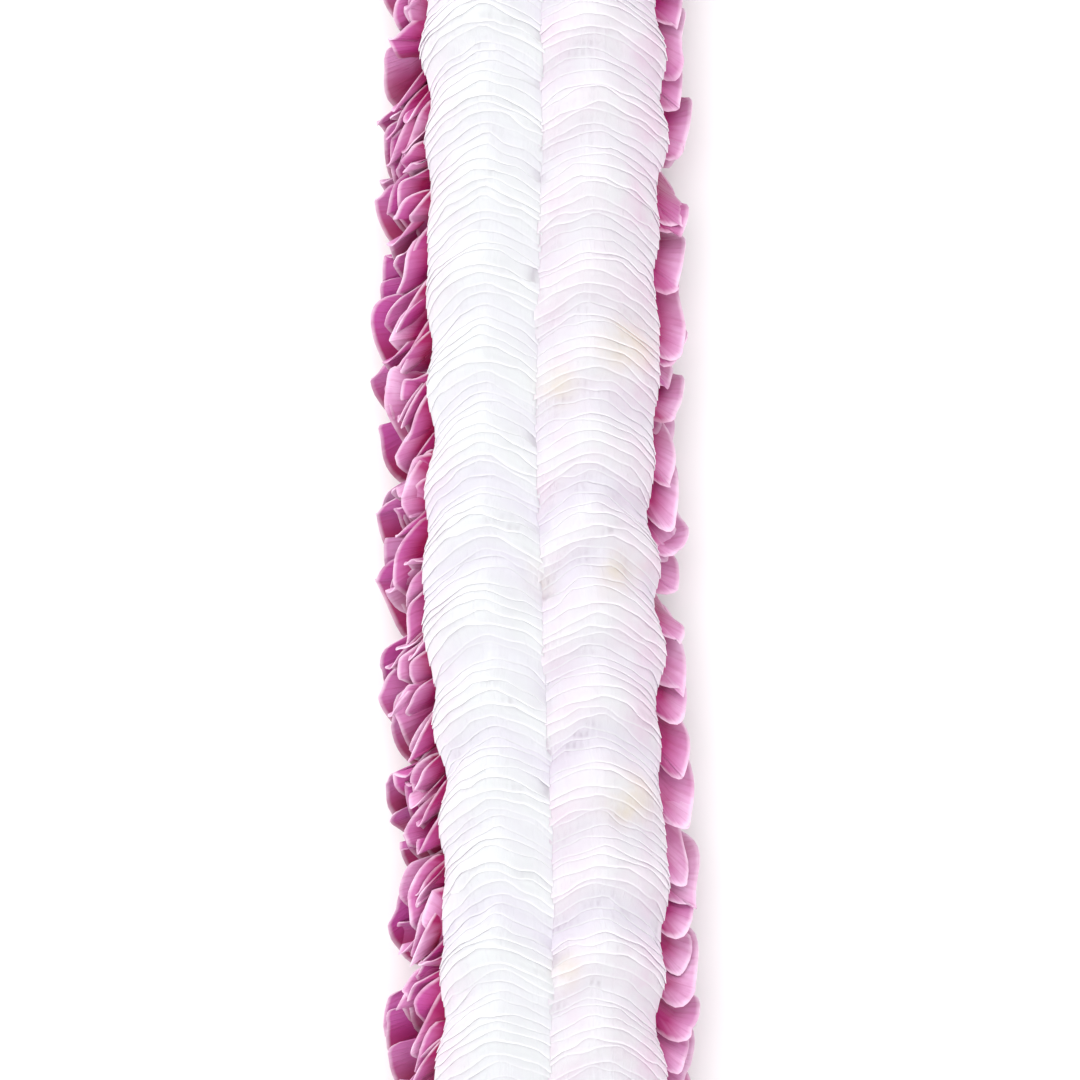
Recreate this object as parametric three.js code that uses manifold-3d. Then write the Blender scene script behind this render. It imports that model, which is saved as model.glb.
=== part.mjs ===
import * as THREE from "three";
import { mergeVertices } from "three/addons/utils/BufferGeometryUtils.js";
import Module from "manifold-3d";

// A fresh flower lei: petals sewn side by side on one thread, whose ends are knotted into a loop.
// It lies on a flat surface, laid out long, with the knot in the middle of one end.
// Folded white petals stand close together along its upper side, in two rows that meet in a groove.
// Magenta petals fan out below them on both sides, and shorter ones tuck under the thread. They are
// sewn in a spiral, so they lean back on the loop's outer side and forward on its inner side.
// Millimetres, +Z up. The loop is long in Y, and forward is anticlockwise round it.

// The loop, measured along the thread
const GIRTH = 1016;
const STRAND_SPACING = 150;
const BEND_RADIUS = STRAND_SPACING / 2;
const STRAIGHT = GIRTH / 2 - Math.PI * BEND_RADIUS;
const SWAYS = [
  { waves: 3, reach: 1.4, turn: 4.14 },
  { waves: 8, reach: 0.5, turn: 2.2 },
];

// The petals come in runs, and each run has the same count of blooms along it
const RUNS = 21;
const BLOOMS_PER_RUN = 3;
const RUN_LENGTH = GIRTH / RUNS;
const RUN_GAP = 0.4;

// The thread, and the channel that the magenta petal bases leave for it
const THREAD_RADIUS = 0.6;
const THREAD_HEIGHT = 14.7;
const THREAD_STEPS = 58;
const THREAD_SIDES = 6;
const CHANNEL = { halfWidth: 2.8, floor: 12.8 };
const KNOT = { radius: 1.45, steps: 20, sides: 5, height: 14.4, room: 7 };
const TAIL = { reach: 8, drop: 2, bend: 1, steps: 3 };

// The magenta petals
const BASES = { halfWidth: 11, bottom: 4, top: 15.7, steps: 3 };
const STATIONS_PER_RUN = 4;
const FIRST_STATION = 4.4;
const PETAL_THICKNESS = 1.8; // along the loop, which leaves a leaning petal about 1.2 mm thick
const SIDE_PETAL = { root: 8, middle: 24.6, lowTop: 15.4, tipTop: 18.6, rounding: 2.4, cup: 1.6 };
// The lean and the sweep run along the loop, for each millimetre of height and of distance from
// the thread. Every second petal belongs to a lower tier that reaches further out.
const OUTER = {
  side: 1,
  lean: -0.85,
  sweep: 0.75,
  tiers: [
    { reach: 33.4, rise: -2 },
    { reach: 29.6, rise: 0.9 },
  ],
};
const INNER = {
  side: -1,
  lean: 0.85,
  sweep: 0.5,
  tiers: [
    { reach: 30.8, rise: -0.4 },
    { reach: 28.4, rise: 0.4 },
  ],
};
const UNDER_PETALS_PER_RUN = 3;
const UNDER_PETAL = { reach: 11, rootHeight: 6, slip: 5, rounding: 3.2 };

// The white petals
const PLEATS_PER_BLOOM = 3;
const PLEATS_PER_RUN = BLOOMS_PER_RUN * PLEATS_PER_BLOOM;
const WHITE_BOTTOM = 16.1;
const WHITE_CREST = 35.6;
const WHITE_REACH = 20.6;
const BLOOM_SWELL = { side: 2.2, up: 2.2 };
const EDGE_WAVES = {
  outer: { waves: 17, reach: 0.7, turn: 2.6 },
  inner: { waves: 21, reach: 1.1, turn: 3.45 },
};
const PLEAT_DEPTH = { side: 0.8, up: 3.6 };
const OVERHANG = { bottom: 0.5, crest: 1.3 }; // in pleat pitches
// Across the band: place from edge to edge, height from bottom to crest, and how far the pleat
// runs on along the loop there, which gives each pleat its two arches and its V in the groove
const ACROSS = [
  { place: -0.84, height: 0, along: 5.2 },
  { place: -1, height: 0.52, along: 6.6 },
  { place: -0.5, height: 1, along: 0 },
  { place: 0, height: 0.84, along: 4.4 },
  { place: 0.5, height: 1, along: 0 },
  { place: 1, height: 0.52, along: 6.6 },
  { place: 0.84, height: 0, along: 5.2 },
];

const MAGENTA = { color: 0xc2529f, roughness: 0.55, metalness: 0 };
const WHITE = { color: 0xf9f5f8, roughness: 0.6, metalness: 0 };
const COTTON = { color: 0xe9e4d8, roughness: 0.85, metalness: 0 };

const wasm = await Module();
wasm.setup();

THREE.MathUtils.seededRandom(40);

// A number between -size and size
function jitter(size) {
  return size * (2 * THREE.MathUtils.seededRandom() - 1);
}

// The thread's line seen from above: two straights and two half turns, starting at the knot.
function loopLine() {
  const line = new THREE.Path();
  line.moveTo(0, STRAIGHT / 2 + BEND_RADIUS);
  line.absarc(0, STRAIGHT / 2, BEND_RADIUS, Math.PI / 2, Math.PI, false);
  line.lineTo(-BEND_RADIUS, -STRAIGHT / 2);
  line.absarc(0, -STRAIGHT / 2, BEND_RADIUS, Math.PI, 2 * Math.PI, false);
  line.lineTo(BEND_RADIUS, STRAIGHT / 2);
  line.absarc(0, STRAIGHT / 2, BEND_RADIUS, 0, Math.PI / 2, false);
  return line;
}

const LINE = loopLine();

// A wave round the loop, which meets itself at the knot
function wave(along, { waves, reach, turn }) {
  return reach * Math.sin((2 * Math.PI * waves * along) / GIRTH + turn);
}

// The point at a distance along the thread, a distance out from it, away from the loop's middle,
// and a height above the surface.
function place(along, out, height) {
  const share = THREE.MathUtils.euclideanModulo(along / GIRTH, 1);
  const point = LINE.getPoint(share);
  const tangent = LINE.getTangent(share);
  const side = SWAYS.reduce((sum, sway) => sum + wave(along, sway), out);
  return new THREE.Vector3(point.x + tangent.y * side, point.y - tangent.x * side, height);
}

// A geometry from points and the triangles between them
function geometryOf(points, triangles) {
  const geometry = new THREE.BufferGeometry().setFromPoints(points);
  geometry.setIndex(triangles);
  return geometry;
}

// A closed solid through sections, each a ring of points. The outline is one ring seen along the
// loop, anticlockwise, and says how the end caps are filled.
function loft(sections, outline) {
  const count = outline.length;
  const triangles = [];
  for (let row = 0; row < sections.length - 1; row++) {
    for (let i = 0; i < count; i++) {
      const a = row * count + i;
      const b = row * count + ((i + 1) % count);
      triangles.push(a, a + count, b + count, a, b + count, b);
    }
  }
  const last = (sections.length - 1) * count;
  for (const [a, b, c] of THREE.ShapeUtils.triangulateShape(outline, [])) {
    triangles.push(a, b, c, last + a, last + c, last + b);
  }
  return geometryOf(sections.flat(), triangles);
}

// The triangles between two columns of a sheet, which may hold different counts of points
function strip(near, far) {
  const triangles = [];
  let i = 0;
  let j = 0;
  while (i < near.length - 1 || j < far.length - 1) {
    const nearNext = (i + 1) / (near.length - 1);
    const farNext = (j + 1) / (far.length - 1);
    if (nearNext <= farNext) {
      triangles.push([near[i], near[i + 1], far[j]]);
      i++;
    } else {
      triangles.push([near[i], far[j + 1], far[j]]);
      j++;
    }
  }
  return triangles;
}

// A closed sheet through columns of points that run away from the loop's middle, each column from
// its lowest point up. Its thickness is measured along the loop.
function sheet(columns, thickness) {
  const points = [];
  for (const side of [0.5, -0.5]) {
    for (const { along, out, height } of columns.flat()) {
      points.push(place(along + side * thickness, out, height));
    }
  }
  const back = points.length / 2;
  let count = 0;
  const numbered = columns.map((column) => column.map(() => count++));
  const triangles = [];
  for (let n = 0; n < numbered.length - 1; n++) {
    for (const [a, b, c] of strip(numbered[n], numbered[n + 1])) {
      triangles.push(a, b, c, back + a, back + c, back + b);
    }
  }
  const lows = numbered.map((column) => column[0]);
  const highs = numbered.map((column) => column[column.length - 1]);
  const first = numbered[0];
  const last = numbered[numbered.length - 1];
  const nearEnd = first.slice(0, -1);
  const farEnd = last.slice(1, -1).reverse();
  const rim = [...nearEnd, ...highs, ...farEnd, ...lows.slice(1).reverse()];
  rim.forEach((p, n) => {
    const q = rim[(n + 1) % rim.length];
    triangles.push(q, p, back + p, q, back + p, back + q);
  });
  return geometryOf(points, triangles);
}

// A geometry as a solid that can be joined to others
function solidOf(geometry) {
  const bare = new THREE.BufferGeometry();
  bare.setAttribute("position", geometry.getAttribute("position"));
  bare.setIndex(geometry.index);
  const merged = mergeVertices(bare, 1e-4);
  return new wasm.Manifold(
    new wasm.Mesh({
      numProp: 3,
      vertProperties: merged.getAttribute("position").array,
      triVerts: new Uint32Array(merged.index.array),
    }),
  );
}

// Solids joined into one geometry
function fuse(geometries) {
  const whole = geometries.map(solidOf).reduce((sum, solid) => sum.add(solid));
  const mesh = whole.getMesh();
  const geometry = new THREE.BufferGeometry();
  geometry.setAttribute("position", new THREE.BufferAttribute(mesh.vertProperties, 3));
  geometry.setIndex(new THREE.BufferAttribute(mesh.triVerts, 1));
  return geometry;
}

function namedMesh(name, geometry, finish) {
  geometry.computeVertexNormals();
  const mesh = new THREE.Mesh(geometry, new THREE.MeshStandardMaterial(finish));
  mesh.name = name;
  return mesh;
}

// The packed bases of a run's magenta petals, with the thread's channel along their top
function petalBases(run) {
  const start = Math.max(run * RUN_LENGTH + RUN_GAP / 2, KNOT.room / 2);
  const end = Math.min((run + 1) * RUN_LENGTH - RUN_GAP / 2, GIRTH - KNOT.room / 2);
  const { halfWidth, bottom, top, steps } = BASES;
  const outline = [
    [-halfWidth, bottom],
    [halfWidth, bottom],
    [halfWidth, top],
    [CHANNEL.halfWidth, top],
    [0, CHANNEL.floor],
    [-CHANNEL.halfWidth, top],
    [-halfWidth, top],
  ].map(([out, height]) => new THREE.Vector2(out, height));
  const sections = [];
  for (let step = 0; step <= steps; step++) {
    const along = start + ((end - start) * step) / steps;
    sections.push(outline.map(({ x, y }) => place(along, x, y)));
  }
  return loft(sections, outline);
}

// A magenta petal on one side of the thread, bulging away from the surface
function sidePetal(station, { side, lean, sweep }, { reach, rise: lift }) {
  const { root, middle, lowTop, tipTop, rounding, cup } = SIDE_PETAL;
  const droop = jitter(0.8);
  const shift = jitter(1.1);
  const tip = tipTop + droop + lift;
  const twoPoints = [0, 1];
  const threePoints = [0, 0.5, 1];
  const edges = [
    { out: root, low: 6, high: 13.2, shares: twoPoints, shift: 0, rounding: 0 },
    { out: middle, low: 1.6 + droop, high: lowTop, shares: threePoints, shift, rounding: 0 },
    { out: reach, low: 5.6 + droop, high: tip, shares: threePoints, shift, rounding },
  ];
  const centre = (BASES.bottom + BASES.top) / 2;
  const columns = edges.map((edge) =>
    edge.shares.map((share) => {
      const inside = share > 0 && share < 1;
      const height = edge.low + (edge.high - edge.low) * share;
      const bulge = inside ? -Math.sign(lean) * cup : 0;
      const along = station + edge.shift + sweep * (edge.out - root);
      return {
        along: along + lean * (height - centre) + bulge,
        out: side * (edge.out - (inside ? 0 : edge.rounding)),
        height,
      };
    }),
  );
  return sheet(side > 0 ? columns : columns.reverse(), PETAL_THICKNESS);
}

// A magenta petal under the thread, pressed flat where it meets the surface
function underPetal(station) {
  const { reach, rootHeight, slip, rounding } = UNDER_PETAL;
  const columns = [-reach, 0, reach].map((out) => [
    { along: station + slip - (out === 0 ? 0 : rounding), out, height: 0 },
    { along: station, out: out * 0.8, height: rootHeight },
  ]);
  return sheet(columns, PETAL_THICKNESS);
}

function magentaRun(run) {
  const start = run * RUN_LENGTH + FIRST_STATION;
  const pieces = [petalBases(run)];
  for (let n = 0; n < STATIONS_PER_RUN; n++) {
    const station = start + (n * RUN_LENGTH) / STATIONS_PER_RUN;
    pieces.push(sidePetal(station, OUTER, OUTER.tiers[n % 2]));
    pieces.push(sidePetal(station, INNER, INNER.tiers[n % 2]));
  }
  for (let n = 0; n < UNDER_PETALS_PER_RUN; n++) {
    pieces.push(underPetal(start + (n * RUN_LENGTH) / UNDER_PETALS_PER_RUN));
  }
  return fuse(pieces);
}

// How full a bloom is at a pleat: none between blooms, and one in a bloom's middle
function bloomSwell(pleat) {
  return Math.abs(Math.sin((Math.PI * pleat) / PLEATS_PER_BLOOM));
}

// One line across the white band: its points seen along the loop, and how far along each one lies
function pleatLine({ outer, inner, crest, edgeOverhang, crestOverhang, wobble }) {
  return ACROSS.map(({ place: share, height, along }) => {
    const overhang = edgeOverhang + (crestOverhang - edgeOverhang) * height;
    return {
      along: along + overhang + (height > 0 ? jitter(wobble) : 0),
      out: share * (share > 0 ? outer : inner),
      height: WHITE_BOTTOM + (crest - WHITE_BOTTOM) * height + (height > 0 ? jitter(wobble) : 0),
    };
  });
}

// The lines of every white pleat round the whole loop: a fold, then the petals' edge that leans over
// the next fold. Runs share the folds where they meet.
function pleatLines() {
  const pitch = RUN_LENGTH / PLEATS_PER_RUN;
  const lines = [];
  for (let n = 0; n <= RUNS * PLEATS_PER_RUN; n++) {
    const along = (n % (RUNS * PLEATS_PER_RUN)) * pitch;
    const outer = WHITE_REACH + wave(along, EDGE_WAVES.outer);
    const inner = WHITE_REACH + wave(along, EDGE_WAVES.inner);
    const foldSwell = bloomSwell(n);
    const edgeSwell = bloomSwell(n + 0.5);
    const fold = pleatLine({
      outer: outer + BLOOM_SWELL.side * foldSwell - PLEAT_DEPTH.side,
      inner: inner + BLOOM_SWELL.side * foldSwell - PLEAT_DEPTH.side,
      crest: WHITE_CREST + BLOOM_SWELL.up * foldSwell - PLEAT_DEPTH.up,
      edgeOverhang: 0,
      crestOverhang: 0,
      wobble: 0,
    });
    const edge = pleatLine({
      outer: outer + BLOOM_SWELL.side * edgeSwell + jitter(0.3),
      inner: inner + BLOOM_SWELL.side * edgeSwell + jitter(0.3),
      crest: WHITE_CREST + BLOOM_SWELL.up * edgeSwell,
      edgeOverhang: OVERHANG.bottom * pitch,
      crestOverhang: OVERHANG.crest * pitch,
      wobble: 0.4,
    });
    lines.push({ along: n * pitch, fold, edge });
  }
  return lines;
}

function whiteRun(run, lines) {
  const first = run * PLEATS_PER_RUN;
  const ring = (line, offset) =>
    line.map(({ along, out, height }) => place(offset + along, out, height)).reverse();
  const sections = [];
  for (let n = first; n < first + PLEATS_PER_RUN; n++) {
    const { along, fold, edge } = lines[n];
    sections.push(ring(fold, along + (n === first ? RUN_GAP / 2 : 0)), ring(edge, along));
  }
  const end = lines[first + PLEATS_PER_RUN];
  sections.push(ring(end.fold, end.along - RUN_GAP / 2));
  const outline = ACROSS.map(
    ({ place: share, height }) =>
      new THREE.Vector2(share * WHITE_REACH, height * (WHITE_CREST - WHITE_BOTTOM)),
  ).reverse();
  return loft(sections, outline);
}

// The thread from one side of the knot right round to the other
function threadLoop() {
  const start = KNOT.radius + THREAD_RADIUS + 0.9;
  const stations = [];
  for (let n = 0; n <= THREAD_STEPS; n++) {
    stations.push(start + ((GIRTH - 2 * start) * n) / THREAD_STEPS);
  }
  const outline = [];
  for (let i = 0; i < THREAD_SIDES; i++) {
    const turn = (2 * Math.PI * i) / THREAD_SIDES;
    outline.push(new THREE.Vector2(Math.cos(turn), Math.sin(turn)).multiplyScalar(THREAD_RADIUS));
  }
  const sections = stations.map((along) =>
    outline.map(({ x, y }) => place(along, x, THREAD_HEIGHT + y)),
  );
  return loft(sections, outline);
}

// The knot that closes the loop, with its two cut ends
function threadKnot() {
  const { radius, steps, sides, height } = KNOT;
  const knot = new THREE.TorusKnotGeometry(radius, THREAD_RADIUS, steps, sides, 2, 3);
  const centre = place(0, 0, height);
  knot.translate(centre.x, centre.y, centre.z);
  const section = new THREE.Shape();
  section.absarc(0, 0, THREAD_RADIUS, 0, 2 * Math.PI, false);
  const tails = [-1, 1].map((side) => {
    const route = new THREE.CatmullRomCurve3([
      place(0, side * 1.2, height),
      place(-side * TAIL.bend, side * TAIL.reach * 0.6, height - TAIL.drop * 0.25),
      place(-side * TAIL.bend, side * TAIL.reach, height - TAIL.drop),
    ]);
    return new THREE.ExtrudeGeometry(section, {
      curveSegments: sides,
      steps: TAIL.steps,
      extrudePath: route,
    });
  });
  return fuse([knot, ...tails]);
}

const lei = new THREE.Group();
lei.add(namedMesh("thread_loop", threadLoop(), COTTON));
lei.add(namedMesh("thread_knot", threadKnot(), COTTON));
const lines = pleatLines();
for (let run = 0; run < RUNS; run++) {
  const number = String(run + 1).padStart(2, "0");
  lei.add(namedMesh(`magenta_petals_${number}`, magentaRun(run), MAGENTA));
  lei.add(namedMesh(`white_petals_${number}`, whiteRun(run, lines), WHITE));
}

// The origin is in the middle of the lei's box, on the surface that it lies on
const box = new THREE.Box3().setFromObject(lei, true);
lei.children.forEach((mesh) => {
  mesh.geometry.translate(-(box.min.x + box.max.x) / 2, -(box.min.y + box.max.y) / 2, 0);
});

export default lei;
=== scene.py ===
"""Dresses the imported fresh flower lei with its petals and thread, and sets the studio and the camera.

Lengths in the classes are millimetres, as in the part's source. LoopLine turns them into metres in
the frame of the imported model. Along runs anticlockwise round the loop from the knot, out runs away
from the thread and from the loop's middle, and height is above the surface.
"""

import logging
import math
from collections.abc import Callable
from dataclasses import dataclass
from enum import Enum

import bpy
import numpy as np
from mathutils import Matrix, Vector


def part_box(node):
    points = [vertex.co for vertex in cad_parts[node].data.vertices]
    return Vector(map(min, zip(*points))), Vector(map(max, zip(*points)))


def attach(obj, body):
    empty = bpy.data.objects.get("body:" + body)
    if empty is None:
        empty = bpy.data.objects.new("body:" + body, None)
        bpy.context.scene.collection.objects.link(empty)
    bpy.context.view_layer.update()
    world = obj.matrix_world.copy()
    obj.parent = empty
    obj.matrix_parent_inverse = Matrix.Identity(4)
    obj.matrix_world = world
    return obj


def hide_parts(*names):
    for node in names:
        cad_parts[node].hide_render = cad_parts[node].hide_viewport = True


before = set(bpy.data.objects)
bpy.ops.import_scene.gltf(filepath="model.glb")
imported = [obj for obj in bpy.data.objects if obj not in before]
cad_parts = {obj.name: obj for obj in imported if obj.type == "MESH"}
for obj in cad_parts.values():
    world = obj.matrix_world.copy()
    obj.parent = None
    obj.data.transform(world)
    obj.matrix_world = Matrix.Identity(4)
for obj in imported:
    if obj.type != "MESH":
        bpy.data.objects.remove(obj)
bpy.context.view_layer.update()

log = logging.getLogger("lei")

METRES_PER_MM = 0.001
BODY = "root"
RUNS = 21
# The angle between faces from which an edge is sharp, in degrees
SHARP_DEGREES = 50.0
# How far to either side a sheet's slope is read, as a share of the petal
PROBE_STEP = 0.006
# How far out the white petals usually reach
WHITE_REACH = 21.6

Array = np.ndarray
Surface = Callable[[Array, Array], Array]
Colour = tuple[float, float, float, float]
Socket = bpy.types.NodeSocket


class Slot(Enum):
    """The names of the material slots."""

    WHITE = "white_petals"
    MAGENTA = "magenta_petals"
    THREAD = "thread"


def linear(red: int, green: int, blue: int) -> Colour:
    """A screen colour from 0 to 255 as the linear colour that a shader takes.

    Args:
        red: the red share.
        green: the green share.
        blue: the blue share.

    Returns:
        The linear colour with full opacity.
    """
    shares = []
    for value in (red, green, blue):
        share = value / 255
        shares.append(share / 12.92 if share <= 0.04045 else ((share + 0.055) / 1.055) ** 2.4)
    return (shares[0], shares[1], shares[2], 1.0)


def smooth_step(low: float, high: float, value: Array) -> Array:
    """Rises smoothly from 0 at low to 1 at high.

    Args:
        low: where the rise starts.
        high: where the rise ends.
        value: the places to read.

    Returns:
        The risen share at each place.
    """
    share = np.clip((value - low) / (high - low), 0.0, 1.0)
    return share * share * (3.0 - 2.0 * share)


def smooth_curve(knots: Array, steps: int = 24) -> Array:
    """Draws a smooth line through knots.

    Args:
        knots: the points that the line passes, one row each.
        steps: the points drawn between two knots.

    Returns:
        The points of the line, one row each.
    """
    padded = np.vstack([2 * knots[0] - knots[1], knots, 2 * knots[-1] - knots[-2]])
    share = np.linspace(0.0, 1.0, steps, endpoint=False)[:, None]
    parts = []
    for a, b, c, d in zip(padded, padded[1:], padded[2:], padded[3:]):
        bend = 2 * a - 5 * b + 4 * c - d
        turn = 3 * (b - c) + d - a
        parts.append(0.5 * (2 * b + (c - a) * share + bend * share**2 + turn * share**3))
    parts.append(knots[-1:])
    return np.vstack(parts)


@dataclass(frozen=True)
class Ripple:
    """Smooth seeded unevenness over two directions, between -1 and 1."""

    seed: int
    cells: int = 61

    def at(self, x: Array, y: Array) -> Array:
        """Reads the unevenness.

        Args:
            x: the places in the first direction, one hill or hollow to a unit.
            y: the places in the second direction.

        Returns:
            The unevenness at each place.
        """
        heights = np.random.default_rng(self.seed).uniform(-1.0, 1.0, (self.cells, self.cells))
        x, y = np.broadcast_arrays(x, y)
        left, low = np.floor(x).astype(int), np.floor(y).astype(int)
        share_x, share_y = smooth_step(0.0, 1.0, x - left), smooth_step(0.0, 1.0, y - low)
        right, high = (left + 1) % self.cells, (low + 1) % self.cells
        left, low = left % self.cells, low % self.cells
        near = heights[left, low] * (1 - share_x) + heights[right, low] * share_x
        far = heights[left, high] * (1 - share_x) + heights[right, high] * share_x
        return near * (1 - share_y) + far * share_y


@dataclass(frozen=True)
class Wave:
    """A wave round the loop, which meets itself at the knot."""

    count: int
    reach: float
    turn: float

    def at(self, along: Array, girth: float) -> Array:
        """The wave's height at distances along a loop of that girth."""
        return self.reach * np.sin(2 * np.pi * self.count * along / girth + self.turn)


@dataclass(frozen=True)
class BandEdge:
    """How far out one edge of the white petals lies, all round the loop."""

    reach: float
    waves: tuple[Wave, ...]

    def shift(self, along: Array, girth: float) -> Array:
        """How far the edge lies beyond its usual place at distances along a loop of that girth."""
        return self.reach + sum(wave.at(along, girth) for wave in self.waves)


class Band(Enum):
    """The two edges of the white petals, measured from where their rim is drawn."""

    OUTER = BandEdge(-0.2, (Wave(10, 0.8, 3.74), Wave(18, 0.4, 3.45), Wave(47, 0.4, 5.5)))
    INNER = BandEdge(0.7, (Wave(3, 0.7, 4.76), Wave(21, 0.6, 4.14), Wave(52, 0.45, 0.46)))

    @classmethod
    def beside(cls, side: int) -> "BandEdge":
        """The edge on one side: 1 for the outer side and -1 for the inner one."""
        return (cls.OUTER if side > 0 else cls.INNER).value


@dataclass
class LoopLine:
    """The thread's line: two straights and two half turns, which sway a little."""

    girth: float = 1016.0
    bend_radius: float = 75.0
    sways: tuple[Wave, ...] = (Wave(3, 1.4, 4.14), Wave(8, 0.5, 2.2))
    shift: tuple[float, float] = (0.0, 0.0)

    @property
    def straight(self) -> float:
        """The length of each straight."""
        return self.girth / 2 - math.pi * self.bend_radius

    @property
    def quarter(self) -> float:
        """The length of a quarter turn."""
        return math.pi * self.bend_radius / 2

    def place(self, along: Array, out: Array, height: Array) -> Array:
        """Places points that are given along the loop.

        Args:
            along: distances along the thread.
            out: distances out from the thread, away from the loop's middle.
            height: heights above the surface.

        Returns:
            The points in metres, with their three numbers in the last direction.
        """
        along, out, height = np.broadcast_arrays(along, out, height)
        s = np.mod(along, self.girth)
        ends = np.cumsum([self.quarter, self.straight, 2 * self.quarter, self.straight])
        stretches = [s < end for end in ends]
        angle = np.select(
            stretches,
            [
                math.pi / 2 + s / self.bend_radius,
                np.full_like(s, math.pi),
                math.pi + (s - ends[1]) / self.bend_radius,
                np.full_like(s, 2 * math.pi),
            ],
            2 * math.pi + (s - ends[3]) / self.bend_radius,
        )
        centre = np.select(
            stretches,
            [
                np.full_like(s, self.straight / 2),
                self.straight / 2 - (s - ends[0]),
                np.full_like(s, -self.straight / 2),
                -self.straight / 2 + (s - ends[2]),
            ],
            self.straight / 2,
        )
        radius = self.bend_radius + out + sum(sway.at(along, self.girth) for sway in self.sways)
        x = radius * np.cos(angle) + self.shift[0]
        y = centre + radius * np.sin(angle) + self.shift[1]
        return np.stack([x, y, height + np.zeros_like(s)], axis=-1) * METRES_PER_MM


class PetalNet:
    """The net of points and faces that all petals of one kind share.

    A petal is a fan. Its rows run from its root to its rim, and each row runs across it, from 0 at
    one side to 1 at the other. A closed thin solid has this net twice, with a border between.
    """

    def __init__(self, rows: tuple[tuple[float, int], ...]) -> None:
        """Lays out the net.

        Args:
            rows: how far each row lies from root to rim, and its count of points.
        """
        self.across = np.concatenate([np.linspace(0.0, 1.0, count) for _, count in rows])[None, :]
        self.reach = np.concatenate([np.full(count, share) for share, count in rows])[None, :]
        counts = [count for _, count in rows]
        starts = [sum(counts[:n]) for n in range(len(counts))]
        numbered = [list(range(a, a + count)) for a, count in zip(starts, counts)]
        self.count = sum(counts)
        front = [face for near, far in zip(numbered, numbered[1:]) for face in self._between(near, far)]
        ends = [row[-1] for row in numbered[1:-1]]
        heads = [row[0] for row in numbered[1:-1]][::-1]
        border = numbered[0] + ends + numbered[-1][::-1] + heads
        back = [[self.count + p for p in reversed(face)] for face in front]
        walls = []
        for p, q in zip(border, border[1:] + border[:1]):
            walls.append([q, p, self.count + p, self.count + q])
        faces = front + back + walls
        self.corners = np.array([p for face in faces for p in face])
        self.sizes = np.array([len(face) for face in faces])

    @staticmethod
    def _between(near: list[int], far: list[int]) -> list[list[int]]:
        """The faces between two rows.

        Args:
            near: the points of the row nearer the root.
            far: the points of the row nearer the rim.

        Returns:
            The faces, as four-sided ones where the rows match.
        """
        if len(near) == len(far):
            return [[near[n], near[n + 1], far[n + 1], far[n]] for n in range(len(near) - 1)]
        faces = []
        i = j = 0
        while i < len(near) - 1 or j < len(far) - 1:
            if (i + 1) * (len(far) - 1) <= (j + 1) * (len(near) - 1):
                faces.append([near[i], near[i + 1], far[j]])
                i += 1
            else:
                faces.append([near[i], far[j + 1], far[j]])
                j += 1
        return faces


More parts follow.
